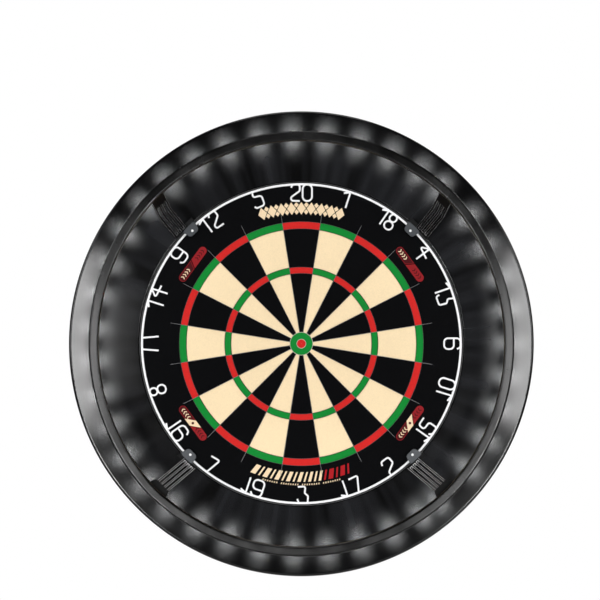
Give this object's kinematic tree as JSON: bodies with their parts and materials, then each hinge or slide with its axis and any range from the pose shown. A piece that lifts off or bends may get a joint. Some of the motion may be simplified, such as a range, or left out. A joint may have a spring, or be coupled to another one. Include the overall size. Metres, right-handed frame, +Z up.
{
  "type": "dartboard with ring light",
  "caption": "Round bristle dartboard on a wall bracket, with blade dividers, turnable wire number ring, glossy surround and a magnetically held LED ring light on legs.",
  "frame": {"origin": "on the wall, on the board's axis: the centre of the wall bracket's bolt circle", "axes": "+X to the right and +Z up as the player sees the board; -Y from the wall towards the player"},
  "size_m": [0.6475, 0.232, 0.6476],
  "materials": {
    "bracket_steel": "satin",
    "zinc_steel": "satin",
    "brass_bush": "satin",
    "chipboard": "matte",
    "band_steel": "satin",
    "sisal_natural": "matte",
    "sisal_black": "matte",
    "sisal_cream": "matte",
    "sisal_red": "matte",
    "sisal_green": "matte",
    "blade_steel": "satin",
    "number_wire": "gloss",
    "clip_steel": "satin",
    "wheel_plastic": "satin",
    "pad_rubber": "matte",
    "surround_gloss": "gloss",
    "surround_foam": "matte",
    "light_housing": "satin",
    "led_board": "satin",
    "led_lamp": "gloss",
    "leg_plastic": "satin",
    "magnet_nickel": "polished",
    "tab_plastic": "satin",
    "pin_steel": "polished"
  },
  "bodies": {
    "wall_mount": {"wall_bracket": "bracket_steel"},
    "hanger": {"centre_screw": "zinc_steel", "centre_washer": "zinc_steel"},
    "board": {"centre_insert": "brass_bush", "backing_board": "chipboard", "steel_band": "band_steel", "sisal_body": "sisal_natural", "sisal_outer_field": "sisal_black", "black_beds": "sisal_black", "cream_beds": "sisal_cream", "red_beds": "sisal_red", "green_beds": "sisal_green", "outer_bull": "sisal_green", "bullseye": "sisal_red", "radial_blades": "blade_steel", "double_outer_blade": "blade_steel", "double_inner_blade": "blade_steel", "treble_outer_blade": "blade_steel", "treble_inner_blade": "blade_steel", "outer_bull_blade": "blade_steel", "bullseye_blade": "blade_steel", "number_ring_clips": "clip_steel", "levelling_bases": "wheel_plastic"},
    "numbers": {"number_ring": "number_wire"},
    "surround": {"surround_skin": "surround_gloss", "surround_core": "surround_foam"},
    "ring_light": {"led_chips": "led_lamp", "corner_joiners": "leg_plastic", "foot_magnets": "magnet_nickel", "foot_tabs": "tab_plastic", "tab_pins": "pin_steel", "power_inlet": "leg_plastic", "power_inlet_pin": "pin_steel", "light_cover_top": "light_housing", "light_cover_right": "light_housing", "light_cover_bottom": "light_housing", "light_cover_left": "light_housing", "led_board_top": "led_board", "led_board_right": "led_board", "led_board_bottom": "led_board", "led_board_left": "led_board", "leg_upper_right": "leg_plastic", "leg_upper_left": "leg_plastic", "leg_lower_right": "leg_plastic", "leg_lower_left": "leg_plastic", "magnet_holder_upper_right": "leg_plastic", "magnet_holder_upper_left": "leg_plastic", "magnet_holder_lower_right": "leg_plastic", "magnet_holder_lower_left": "leg_plastic"},
    "wheel_1": {"levelling_wheel_1": "wheel_plastic"},
    "foot_1": {"levelling_foot_1": "pad_rubber"},
    "wheel_2": {"levelling_wheel_2": "wheel_plastic"},
    "foot_2": {"levelling_foot_2": "pad_rubber"},
    "wheel_3": {"levelling_wheel_3": "wheel_plastic"},
    "foot_3": {"levelling_foot_3": "pad_rubber"}
  },
  "joints": [
    {"name": "board_lift", "type": "slide", "parent": "wall_mount", "child": "hanger", "axis": [0, 0, 1], "range_m": [0, 0.03]},
    {"name": "board_turn", "type": "hinge", "parent": "hanger", "child": "board", "pos_m": [0, -0.016, 0], "axis": [0, 1, 0], "continuous": true},
    {"name": "number_ring_turn", "type": "hinge", "parent": "board", "child": "numbers", "pos_m": [0, -0.0509, 0], "axis": [0, 1, 0], "continuous": true},
    {"name": "surround_pull", "type": "slide", "parent": "board", "child": "surround", "axis": [0, -1, 0], "range_m": [0, 0.06]},
    {"name": "light_pull", "type": "slide", "parent": "surround", "child": "ring_light", "axis": [0, -1, 0], "range_m": [0, 0.06]},
    {"name": "levelling_wheel_1_turn", "type": "hinge", "parent": "board", "child": "wheel_1", "pos_m": [0, -0.0074, 0.165], "axis": [0, 1, 0], "range_deg": [0, 180]},
    {"name": "levelling_foot_1_slide", "type": "slide", "parent": "board", "child": "foot_1", "axis": [0, 1, 0], "range_m": [0, 0.0028]},
    {"name": "levelling_wheel_2_turn", "type": "hinge", "parent": "board", "child": "wheel_2", "pos_m": [0.14289, -0.0074, -0.0825], "axis": [0, 1, 0], "range_deg": [0, 180]},
    {"name": "levelling_foot_2_slide", "type": "slide", "parent": "board", "child": "foot_2", "axis": [0, 1, 0], "range_m": [0, 0.0028]},
    {"name": "levelling_wheel_3_turn", "type": "hinge", "parent": "board", "child": "wheel_3", "pos_m": [-0.14289, -0.0074, -0.0825], "axis": [0, 1, 0], "range_deg": [0, 180]},
    {"name": "levelling_foot_3_slide", "type": "slide", "parent": "board", "child": "foot_3", "axis": [0, 1, 0], "range_m": [0, 0.0028]}
  ],
  "couplings": [
    {"joint": "levelling_foot_1_slide", "follows": "levelling_wheel_1_turn", "m_per_rad": 0.00089},
    {"joint": "levelling_foot_2_slide", "follows": "levelling_wheel_2_turn", "m_per_rad": 0.00089},
    {"joint": "levelling_foot_3_slide", "follows": "levelling_wheel_3_turn", "m_per_rad": 0.00089}
  ]
}
